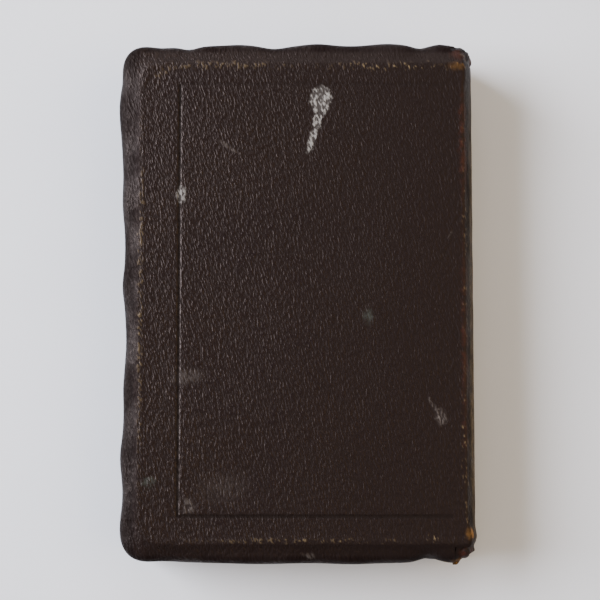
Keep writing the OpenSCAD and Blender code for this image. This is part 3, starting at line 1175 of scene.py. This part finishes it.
@dataclass
class SpineSkin:
    """The leather over the rounded spine, with caps rolled in over the end bands.

    Args:
        measures: the book's measures.
        leather: its material.
        roll: radius of the caps' roll, in mm.
        tuck: how far the leather goes back in behind the caps.
        wing: how far the caps reach over each cover.
        lap: how far the skin goes on under the covers' leather.
        cap_from: distance from the middle of the book at which the caps begin.
        head_groove: depth of the furrow below the head cap.
        tail_groove: depth of the furrow above the torn tail cap.
    """

    measures: Measures
    leather: bpy.types.Material
    roll: float = 1.2
    tuck: float = 4.2
    wing: float = 2.9
    lap: float = 0.25
    cap_from: float = 64.9
    head_groove: float = 0.65
    tail_groove: float = 0.4

    def along(self, run: float) -> tuple[float, float]:
        """Where the leather is after a run from the middle of the spine.

        Args:
            run: length along the leather in mm, from its middle.

        Returns:
            Distance from the middle, head or tail, and inset from the spine's face, in mm.
        """
        straight = self.measures.high.y - self.roll
        if run <= straight:
            return run, 0.0
        swing = min((run - straight) / self.roll, math.pi)
        back = max(0.0, run - straight - math.pi * self.roll)
        return straight + self.roll * math.sin(swing) - back, self.roll * (1 - math.cos(swing))

    def settle(self, flat: Vector) -> tuple[float, float, float]:
        """Take a point of the flat sheet to its place on the spine.

        Args:
            flat: X is the length along the arc from the middle, Y the run head to tail.

        Returns:
            Its place in the book, in mm.
        """
        book, run, up = self.measures, abs(flat.x), flat.x > 0
        share = min(1.0, run / book.arc_run)
        distance, inset = self.along(abs(flat.y))
        reach = min(abs(flat.y), book.high.y)
        wing = ease((run - book.roll_run - 0.6) / 1.2)
        # Each cap is shorter in the middle of the spine than beside the covers; the tail cap is torn back.
        if flat.y > 0:
            short = -0.6 + 1.9 * (1 - share) - 0.5 * wing
        else:
            short = 0.9 + 3.0 * (1 - share) - 1.9 * wing
        short *= ease((reach - 62.0) / 6.0)
        past = max(0.0, reach - short - (book.high.y - 5.0))
        cap = ease((reach - self.cap_from) / 2.0)
        within = ease((book.arc_run - run) / 3.0)
        wobble = noise.noise(Vector((run * 0.35, flat.y * 0.16, 2.0)))
        crumple = noise.noise(Vector((flat.x * 0.55, flat.y * 0.6, 8.0)))
        inset += 0.10 * wobble * within + cap * 0.5 * crumple + 0.04
        groove = self.tail_groove if flat.y < 0 else self.head_groove
        inset += groove * hump(reach - short, 65.6, 0.75) * cap * (1 - 0.5 * wing)
        x, height = book.section(run, inset)
        if up:
            x += book.flare(flat.y) * ease(share * 2 - 0.4)
        height *= 1 - self.fall(past) / book.half
        y = math.copysign(distance - short, flat.y)
        return x, y, max(book.mid_z + (height if up else -height), book.low.z + 0.02)

    @staticmethod
    def fall(past: float) -> float:
        """Drop of the drooping edge's face at a distance past the crease, in mm: a slope, then the bend."""
        if past < 3.03:
            return past * math.tan(math.radians(20.0))
        return 3.92 - math.sqrt(max(0.0, 9.0 - (past - 2.0) ** 2))

    def build(self) -> bpy.types.Object:
        """Model the spine leather.

        Returns:
            The finished skin.
        """
        book = self.measures
        tuck_under = book.arc_run - self.lap
        wing_end = book.roll_run + self.wing
        ridge = steps(book.arc_run, book.roll_run, 0.2) + steps(book.roll_run, wing_end, 0.5)
        half_columns = steps(0.0, tuck_under, 0.6)[1:] + [tuck_under] + ridge + [wing_end]
        columns = [-c for c in reversed(half_columns)] + [0.0] + half_columns
        straight = book.high.y - self.roll
        round_off = [straight + self.roll * math.pi * i / 9 for i in range(1, 10)]
        tuck = [round_off[-1] + s for s in steps(0.6, self.tuck, 0.9)]
        half_rows = steps(59.4, straight, 0.4) + [straight] + round_off + tuck
        rows = [-r for r in reversed(half_rows)] + steps(-58.1, 59.4, 1.3) + half_rows
        skin = ruled_sheet("spine_skin", columns, rows)
        cut_away(skin, lambda c: abs(c.x) > tuck_under and abs(c.y) < self.cap_from)
        shape(skin, self.settle)
        face_back(skin, 50.0)
        soften(skin, 60)
        keep_places(skin)
        dress(skin, self.leather)
        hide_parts("spine_leather")
        bend_across(skin, self.measures)
        return skin


def bend_across(piece: bpy.types.Object, measures: Measures) -> None:
    """Put a spine piece's place into its mesh."""
    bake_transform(piece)


# ---------------------------------------------------------------- pages


@dataclass
class Pages:
    """The sewn sections as bundles of slightly uneven leaves.

    Args:
        measures: the book's measures; not used.
        paper: material of the leaves' faces.
        edges: material of their edges.
        corner: radius of the fore-edge corners, in mm.
        bundles: how many bundles are shown in a section.
        uneven: how far a bundle can lie back from its neighbours, in mm.
        pressed: share of its height that a bundle fills.
    """

    measures: Measures
    paper: bpy.types.Material
    edges: bpy.types.Material
    corner: float = 6.0
    bundles: int = 5
    uneven: float = 0.11
    pressed: float = 0.985

    def bundle(self) -> bpy.types.Object:
        """Model one bundle of leaves, 1 mm thick, with two rounded fore-edge corners."""
        low, high = span("section_01")
        clear_selection()
        bpy.ops.mesh.primitive_cube_add(size=1)
        size = high - low
        bpy.context.object.scale = (size.x * MM, size.y * MM, MM)
        block = adopt("leaf_bundle")

        def upright_fore(edge: bpy.types.MeshEdge) -> bool:
            """Whether an edge stands upright at the fore-edge."""
            a, b = (block.data.vertices[i].co for i in edge.vertices)
            return a.x < 0 and b.x < 0 and abs(a.z - b.z) > 0.5 * MM

        choose(block, "EDGE", upright_fore)
        bpy.ops.mesh.bevel(offset=self.corner * MM, segments=7, affect="EDGES")
        bpy.ops.object.mode_set(mode="OBJECT")
        dress(block, self.paper, self.edges)
        for face in block.data.polygons:
            face.material_index = 0 if abs(face.normal.z) > 0.5 else 1
        return block

    def section(self, pattern: bpy.types.Object, node: str, chance: random.Random) -> bpy.types.Object:
        """Pile copies of the bundle into one section with a rounded fold.

        Args:
            pattern: the bundle to copy.
            node: the CAD node that the section stands for.
            chance: the source of its unevenness.

        Returns:
            The finished section.
        """
        low, high = span(node)
        thick = high.z - low.z
        leaf, middle = thick / self.bundles, (low.z + high.z) / 2
        made = []
        for number in range(self.bundles):
            level = low.z + leaf * (number + 0.5)
            curve = thick / 2 - math.sqrt(max(0.0, (thick / 2) ** 2 - (level - middle) ** 2))
            copy = copy_of(pattern)
            fore = chance.uniform(-self.uneven, self.uneven * 0.3)
            end = chance.uniform(-self.uneven, 0.0)
            shift = (low.x + high.x) / 2 - curve / 2 - fore / 2
            wide = 1 + (fore - curve) / (high.x - low.x)
            tall = 1 + 2 * end / (high.y - low.y)
            for vertex in copy.data.vertices:
                x, y, z = vertex.co
                vertex.co = (x * wide + shift * MM, y * tall, z * leaf * self.pressed + level * MM)
            made.append(copy)
        number = node[-2:]
        whole = joined(made, f"gathering_{number}")
        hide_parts(node)
        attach(whole, "front_block" if int(number) <= 8 else "back_block")
        return whole

    def build(self) -> list[bpy.types.Object]:
        """Model all sixteen sections."""
        pattern = self.bundle()
        chance = random.Random(1883)
        sections = [self.section(pattern, f"section_{n:02d}", chance) for n in range(1, 17)]
        bpy.data.objects.remove(pattern)
        return sections


@dataclass
class PaperHinges:
    """Strips of paper that cross the openings: the middle fold and the endpapers' folds.

    Args:
        measures: the book's measures.
        paper: their material.
        half_h: half of a strip's height, in mm.
        flange: how far a strip lies on each page, in mm.
        clear: how far a strip keeps off the pages, in mm.
    """

    measures: Measures
    paper: bpy.types.Material
    half_h: float = 62.0
    flange: float = 5.0
    clear: float = 0.008

    def strip(self, name: str, path: Sequence[tuple[float, float]]) -> bpy.types.Object:
        """Sweep a line of X and Z places from tail to head.

        Args:
            name: the piece's name.
            path: X and Z of each station, in mm.

        Returns:
            The strip.
        """
        rows = steps(-self.half_h, self.half_h, 4.0) + [self.half_h]
        sheet = ruled_sheet(name, list(range(len(path))), rows)
        shape(sheet, lambda flat: (path[round(flat.x)][0], flat.y, path[round(flat.x)][1]))
        soften(sheet, 80)
        dress(sheet, self.paper)
        return sheet

    def middle_fold(self) -> bpy.types.Object:
        """Model the fold that bridges the gutter when the book is open in the middle."""
        fold = self.measures.folds_out() - 0.012
        below, above = span("section_08")[1].z, span("section_09")[0].z
        near, far = below + self.clear, above - self.clear
        path = [(fold - self.flange * (1 - i / 4), near) for i in range(4)]
        path += [(fold, near + (far - near) * i / 18) for i in range(19)]
        path += [(fold - self.flange * (i + 1) / 4, far) for i in range(4)]
        sheet = self.strip("middle_fold", path)
        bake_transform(sheet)
        return sheet

    def endpaper_fold(self, side: Side) -> bpy.types.Object:
        """Model the fold between a pastedown and its flyleaf.

        Args:
            side: which cover it belongs to.

        Returns:
            The strip.
        """
        paste, fly = span(f"{side.value}_pastedown"), span(f"{side.value}_flyleaf")
        page = span("section_16" if side is Side.BACK else "section_01")
        if side is Side.BACK:
            near, far = (page[1].z + fly[0].z) / 2, (fly[1].z + paste[0].z) / 2
        else:
            near, far = (page[0].z + fly[1].z) / 2, (fly[0].z + paste[1].z) / 2
        joint = paste[1].x
        turn, half = (near + far) / 2, (far - near) / 2
        path = [(joint - self.flange * (1 - i / 4), near) for i in range(4)]
        path += [
            (joint + 0.5 * math.cos(a), turn + half * math.sin(a))
            for a in (math.pi * (i / 12 - 0.5) for i in range(13))
        ]
        path += [(joint - self.flange * (i + 1) / 4, far) for i in range(4)]
        sheet = self.strip(f"{side.value}_endpaper_fold", path)
        side.block
        side.cover
        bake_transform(sheet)
        return sheet


# ---------------------------------------------------------------- under the leather


@dataclass
class SpineWorks:
    """What holds the sections together: tapes, thread, open-weave cloth, lining and end bands.

    Args:
        measures: the book's measures.
        linen: material of the tapes.
        thread: material of the sewing thread.
        mull: material of the open-weave cloth.
        lining: material of the paper lining.
        silk: material of the end bands.
        tape_half: half of a tape's width, in mm.
        thread_r: the thread's radius.
        kettle: distance of the kettle chains from the middle of the book.
        band_r: an end band's radius.
    """

    measures: Measures
    linen: bpy.types.Material
    thread: bpy.types.Material
    mull: bpy.types.Material
    lining: bpy.types.Material
    silk: bpy.types.Material
    tape_half: float = 4.0
    thread_r: float = 0.12
    kettle: float = 56.5
    band_r: float = 0.9

    def tape_places(self) -> list[float]:
        """The middles of the three tapes from tail to head, in mm."""
        outer = span("sewing_tapes")[1].y - self.tape_half
        return [-outer, 0.0, outer]

    def shell(
        self, name: str, node: str, low_y: float, high_y: float, material: bpy.types.Material
    ) -> bpy.types.Object:
        """Model a thin curved layer of the spine.

        Args:
            name: the piece's name.
            node: the CAD node whose radii it takes.
            low_y: its tail end in mm.
            high_y: its head end in mm.
            material: what it is made of.

        Returns:
            The layer, not yet riding on anything.
        """
        outer = span(node)[1].x - self.measures.arc_x
        limit = math.asin((span("section_16")[1].z - self.measures.mid_z) / outer)
        thickness = {"spine_lining": 0.3, "mull": 0.2, "sewing_tapes": TAPE}[node]
        columns, rows = steps(-limit, limit, limit / 22) + [limit], steps(low_y, high_y, 2.5) + [high_y]
        sheet = ruled_sheet(name, columns, rows)
        arc_x, mid_z = self.measures.arc_x, self.measures.mid_z
        shape(sheet, lambda at: (arc_x + outer * math.cos(at.x), at.y, mid_z + outer * math.sin(at.x)))
        face_back(sheet)
        thicken(sheet, thickness)
        soften(sheet)
        dress(sheet, material)
        return sheet

    def arc_rod(
        self, name: str, y: float, centre_r: float, rod_r: float, material: bpy.types.Material
    ) -> bpy.types.Object:
        """Model a round rod that follows the spine: a ring with its far part cut off.

        Args:
            name: the piece's name.
            y: its place from tail to head in mm.
            centre_r: radius of its centre line in mm.
            rod_r: radius of the rod in mm.
            material: what it is made of.

        Returns:
            The rod.
        """
        low, high = span("head_band")
        limit = math.asin((high.z - low.z) / 2 / centre_r)
        centre = Vector((self.measures.arc_x, y, self.measures.mid_z)) * MM
        clear_selection()
        bpy.ops.mesh.primitive_torus_add(
            location=centre, rotation=(math.pi / 2, 0, 0), major_segments=288, minor_segments=12,
            major_radius=centre_r * MM, minor_radius=rod_r * MM,
        )
        rod = adopt(name)
        for turn in (1, -1):
            across = (-math.sin(limit), 0, turn * math.cos(limit))
            edit(rod, lambda: bpy.ops.mesh.bisect(
                plane_co=centre, plane_no=across, clear_outer=True, use_fill=True,
            ))
        edit(rod, lambda: bpy.ops.mesh.normals_make_consistent(inside=False))
        soften(rod)
        dress(rod, material)
        return rod

    def stitches(self) -> bpy.types.Object:
        """Model the thread: a stitch of every section over each tape, and the two kettle chains."""
        tape_x, thread_r = span("sewing_tapes")[1].x, self.thread_r
        stitch_r = tape_x - self.measures.arc_x + thread_r
        clear_selection()
        bpy.ops.mesh.primitive_cylinder_add(
            vertices=8, radius=thread_r * MM, depth=9.0 * MM, rotation=(math.pi / 2, 0, 0)
        )
        pattern = adopt("stitch")
        made = []
        for n in range(1, 17):
            low, high = span(f"section_{n:02d}")
            z = (low.z + high.z) / 2
            x = self.measures.arc_x + math.sqrt(stitch_r**2 - (z - self.measures.mid_z) ** 2)
            for y in self.tape_places():
                copy = copy_of(pattern)
                for vertex in copy.data.vertices:
                    vertex.co += Vector((x, y, z)) * MM
                made.append(copy)
        bpy.data.objects.remove(pattern)
        for number, y in enumerate((-self.kettle, self.kettle)):
            centre_r = self.measures.fold_r + thread_r
            made.append(self.arc_rod(f"kettle_{number}", y, centre_r, thread_r, self.thread))
        whole = joined(made, "sewing_threads")
        soften(whole)
        dress(whole, self.thread)
        return whole

    def build(self) -> list[bpy.types.Object]:
        """Model every hidden spine piece, keep its rest places and hide the CAD node it stands for.

        Returns:
            The finished pieces.
        """
        pieces = []
        for name, node, material, slot in (
            ("lining_strip", "spine_lining", self.lining, "lining_paper"),
            ("mull_strip", "mull", self.mull, "mull_cloth"),
        ):
            low, high = span(node)
            pieces.append((self.shell(name, node, low.y, high.y, material), node, slot))
        half = self.tape_half
        tapes = [
            self.shell(f"tape_{number}", "sewing_tapes", y - half, y + half, self.linen)
            for number, y in enumerate(self.tape_places(), 1)
        ]
        pieces.append((joined(tapes, "linen_tapes"), "sewing_tapes", "tape_linen"))
        pieces.append((self.stitches(), "sewing_thread", "thread_linen"))
        centre_r, end = self.measures.fold_r - self.band_r, span("head_band")[1].y - self.band_r
        for name, way in (("head_band", 1), ("tail_band", -1)):
            rod = self.arc_rod(f"{name}_silk", way * end, centre_r, self.band_r, self.silk)
            pieces.append((rod, name, "band_silk"))
        for piece, node, slot in pieces:
            keep_places(piece)
            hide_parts(node)
            bend_across(piece, self.measures)
        return [piece for piece, _, _ in pieces]


# ---------------------------------------------------------------- the studio


@dataclass
class Studio:
    """A pale table, soft cool light from the left, and a camera almost straight above.

    Args:
        distance: from the camera to its aim, in mm.
        view_width: how much it sees at the aim, in mm.
        tilt: how far it leans towards the tail, in degrees.
        aim: the place it looks at, in mm.
        sensor: its sensor's width, in mm.
    """

    distance: float = 400.0
    view_width: float = 160.8
    tilt: float = 5.0
    aim: tuple[float, float, float] = (0.3, 0.05, 23.0)
    sensor: float = 36.0

    def table(self) -> bpy.types.Object:
        """Lay the table top under the book."""
        clear_selection()
        bpy.ops.mesh.primitive_plane_add(size=3.0, location=(0, 0, -0.00005))
        top = adopt("table_top")
        dress(top, PaintedTop().build())
        return top

    def camera(self) -> bpy.types.Object:
        """Hang the camera over the book, leaning a little towards the tail."""
        lean = math.radians(self.tilt)
        back = Vector((0.0, -math.sin(lean), math.cos(lean)))
        place = (Vector(self.aim) + back * self.distance) * MM
        bpy.ops.object.camera_add(location=place, rotation=(lean, 0, 0))
        camera = bpy.context.object
        camera.data.sensor_width = self.sensor
        camera.data.lens = self.sensor * self.distance / self.view_width
        bpy.context.scene.camera = camera
        return camera

    def lamp(
        self, name: str, place: tuple[float, float, float], size: float, watts: float, colour: str
    ) -> None:
        """Hang one large soft lamp aimed at the book.

        Args:
            name: the lamp's name.
            place: where it hangs, in metres.
            size: its side in metres.
            watts: its power.
            colour: its sRGB colour.
        """
        bpy.ops.object.light_add(type="AREA", location=place)
        lamp = bpy.context.object
        lamp.name = name
        lamp.data.size = size
        lamp.data.energy = watts
        lamp.data.color = linear(colour)[:3]
        lamp.rotation_euler = (-Vector(place)).to_track_quat("-Z", "Y").to_euler()

    def build(self) -> None:
        """Set up the table, lights and camera."""
        self.table()
        self.camera()
        self.lamp("window", (-1.1, 0.3, 0.72), 1.0, 74.0, "e9eefc")
        self.lamp("room", (1.0, -0.05, 0.95), 1.2, 12.0, "ffe2b8")
        self.lamp("far_wall", (0.1, 1.2, 0.85), 1.0, 9.0, "f2f2f6")
        world = bpy.data.worlds.new("room")
        bpy.context.scene.world = world
        world.use_nodes = True
        air = world.node_tree.nodes["Background"].inputs
        air["Color"].default_value = linear("efe8dc")
        air["Strength"].default_value = 0.3


# ---------------------------------------------------------------- the whole book

TOP = 23.0
RULES = (
    Rule(0, -32.2, -57.5, 58.9, 1.0), Rule(1, 58.9, -32.2, 41.0, 0.2), Rule(1, -57.5, -32.2, 41.0, 0.7),
)
WEAR = (
    # The drip of paint near the head, its tail, and small splashes.
    Mark(Harm.PAINTED, (5.9, 54.6, TOP), (3.3, 4.4, 4.0), -8, 0.95, 0.3),
    Mark(Harm.PAINTED, (5.0, 48.6, TOP), (1.5, 3.6, 4.0), -14, 0.9, 0.4),
    Mark(Harm.PAINTED, (3.4, 43.2, TOP), (1.3, 4.0, 4.0), -18, 0.85, 0.4),
    Mark(Harm.PAINTED, (-31.7, 28.7, TOP), (1.7, 3.0, 4.0), 8, 0.6, 0.6),
    Mark(Harm.SCUFFED, (37.9, -31.2, TOP), (2.3, 2.7, 4.0), 20, 0.75, 0.7),
    Mark(Harm.SCUFFED, (35.6, -27.9, TOP), (0.8, 3.8, 4.0), 32, 0.45, 0.8),
    Mark(Harm.RUBBED, (35.4, -63.2, TOP), (3.0, 1.4, 3.0), 0, 0.9, 0.8),
    Mark(Harm.SCUFFED, (-18.9, 41.6, TOP), (0.8, 4.9, 4.0), 56, 0.3, 0.8),
    Mark(Harm.FADED, (18.5, -4.3, TOP), (2.2, 2.8, 4.0), 0, 0.45, 0.7),
    Mark(Harm.FADED, (-39.9, -48.5, TOP), (2.4, 2.4, 4.0), 0, 0.5, 0.7),
    Mark(Harm.SCUFFED, (-30.0, -20.5, TOP), (6.5, 3.0, 4.0), 6, 0.22, 0.9),
    Mark(Harm.SCUFFED, (-29.2, -54.6, TOP), (2.2, 2.9, 4.0), 20, 0.4, 0.8),
    Mark(Harm.SCUFFED, (-20.0, -50.0, TOP), (10.0, 6.0, 4.0), 10, 0.1, 0.95),
    Mark(Harm.SCUFFED, (2.9, -67.8, TOP - 3), (2.8, 1.6, 4.0), 0, 0.4, 0.7),
    Mark(Harm.SCUFFED, (41.0, 18.0, TOP), (0.5, 1.8, 4.0), -35, 0.35, 0.7),
    # Dye rubbed off the creases by shelves and pockets.
    Mark(Harm.RUBBED, (26.0, 63.9, TOP), (26.0, 1.8, 3.0), 0, 0.8, 0.95),
    Mark(Harm.RAW, (43.0, 63.9, TOP), (3.4, 1.7, 3.0), 0, 0.5, 0.95),
    Mark(Harm.RUBBED, (-18.0, 64.0, TOP), (26.0, 1.6, 3.0), 0, 0.32, 0.95),
    Mark(Harm.RUBBED, (-36.5, 62.5, TOP), (5.0, 1.4, 3.0), 32, 0.25, 0.9),
    Mark(Harm.RUBBED, (-42.5, 0.0, TOP), (0.9, 60.0, 3.0), 0, 0.32, 0.9),
    Mark(Harm.RUBBED, (5.0, -63.9, TOP), (42.0, 0.9, 3.0), 0, 0.38, 0.85),
    Mark(Harm.RUBBED, (44.9, 10.0, TOP - 0.5), (1.3, 62.0, 2.5), 0, 0.7, 0.9),
    Mark(Harm.RUBBED, (44.6, -42.0, TOP - 0.5), (2.2, 28.0, 3.0), 0, 0.95, 0.9),
    Mark(Harm.RUBBED, (47.2, -5.0, TOP - 5.0), (1.5, 78.0, 6.5), 0, 0.5, 0.7),
    Mark(Harm.RUBBED, (47.0, -34.0, TOP - 4.0), (1.7, 44.0, 6.5), 0, 0.85, 0.95),
    Mark(Harm.REDDENED, (44.6, 42.0, TOP - 0.5), (1.8, 24.0, 3.0), 0, 0.42, 0.9),
    Mark(Harm.REDDENED, (44.5, -12.0, TOP - 0.5), (1.6, 44.0, 3.0), 0, 0.3, 0.9),
    # The torn cap at the tail.
    Mark(Harm.RAW, (45.3, -62.0, TOP - 1.0), (1.7, 2.4, 2.6), 10, 0.8, 0.7),
    Mark(Harm.RAW, (42.3, -69.6, TOP - 3.0), (2.2, 1.3, 4.5), 20, 0.9, 0.7),
    Mark(Harm.REDDENED, (44.5, -67.0, TOP - 3.0), (3.4, 2.6, 5.0), 40, 0.5, 0.8),
    Mark(Harm.RUBBED, (44.8, 66.6, TOP - 1.5), (2.0, 1.0, 3.0), -30, 0.9, 0.6),
    Mark(Harm.REDDENED, (44.0, 67.2, TOP - 2.0), (4.0, 2.6, 4.0), 0, 0.35, 0.8),
    # The same handling on the hidden front cover and spine.
    Mark(Harm.RUBBED, (0.0, 64.5, 0.0), (44.0, 1.2, 3.0), 0, 0.5, 0.9),
    Mark(Harm.RUBBED, (0.0, -64.5, 0.0), (44.0, 1.2, 3.0), 0, 0.5, 0.9),
    Mark(Harm.RUBBED, (45.0, 0.0, 0.5), (0.9, 62.0, 2.5), 0, 0.8, 0.9),
    Mark(Harm.RUBBED, (47.9, 0.0, 11.5), (0.8, 60.0, 5.0), 0, 0.35, 0.9),
    Mark(Harm.REDDENED, (47.6, 67.5, 11.5), (2.0, 2.2, 8.0), 0, 0.8, 0.7),
)


def main() -> None:
    """Build the book piece by piece, report each one, and set up the studio."""
    logging.basicConfig(level=logging.INFO, format="%(name)s: %(message)s")
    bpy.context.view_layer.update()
    measures = Measures()
    leather = GrainedLeather(marks=WEAR, rules=RULES).build()
    printed = AgedPaper("printed_paper_aged", printed=True).build()
    endpaper = AgedPaper("endpaper_wove_aged", "dfd0aa", "b8985f").build()
    millboard = PressedBoard("millboard_grey_brown", "a58d67", "6f5b3d").build()
    card = PressedBoard("infill_card", "c9b78f", "9b855a").build()

    made = [CoverSkin(side, measures, leather).build() for side in (Side.BACK, Side.FRONT)]
    made.append(SpineSkin(measures, leather).build())
    made += Pages(measures, printed, RedUnderGilt().build()).build()
    hinges = PaperHinges(measures, endpaper)
    made += [hinges.middle_fold(), hinges.endpaper_fold(Side.BACK), hinges.endpaper_fold(Side.FRONT)]
    made += SpineWorks(
        measures,
        WovenCloth("linen_tape_plain_woven", "d8ccab", "6e6046", 0.55).build(),
        WovenCloth("linen_thread_waxed", "e6dcc4", "8f8163", 0.3).build(),
        WovenCloth("mull_open_weave", "cfc6ad", "5c5138", 0.9).build(),
        PressedBoard("brown_lining_paper", "b7a57d", "8a7650", bends=True).build(),
        SewnSilk().build(),
    ).build()
    for node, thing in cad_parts.items():
        if node.startswith("leaf_"):
            dress(thing, printed)
        elif node.endswith(("_flyleaf", "_pastedown")):
            dress(thing, endpaper)
        elif node.endswith("_board"):
            dress(thing, millboard)
        elif node.endswith("_infill"):
            dress(thing, card)
    for piece in made:
        LOG.info("%s: %d faces", piece.name, len(piece.data.polygons))
    Studio().build()
    clear_selection()


if __name__ == "__main__":
    main()
